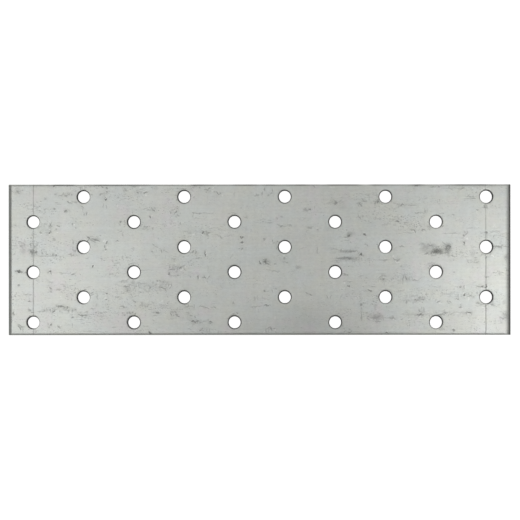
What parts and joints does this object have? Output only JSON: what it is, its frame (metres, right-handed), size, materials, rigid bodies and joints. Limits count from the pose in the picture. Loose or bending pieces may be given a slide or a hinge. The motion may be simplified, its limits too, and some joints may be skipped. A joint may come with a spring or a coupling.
{
  "type": "mending plate",
  "caption": "Flat galvanised steel mending plate, a rectangle with a staggered field of round nail holes, for butt-joining timber.",
  "frame": {"origin": "middle of the back face, the face that lies on the timber, halfway along the length and the width", "axes": "+X along the length, to the right in the picture; +Y across the width, up in the picture; +Z out of the front face, towards the camera"},
  "size_m": [0.2, 0.06, 0.002],
  "materials": {
    "galvanised_steel": "pre-galvanised sheet, dull silver grey with faint rolling streaks, dark specks and handling smudges; cut edges bare and darker"
  },
  "bodies": {
    "root": {"mending_plate": "galvanised_steel"}
  },
  "joints": []
}
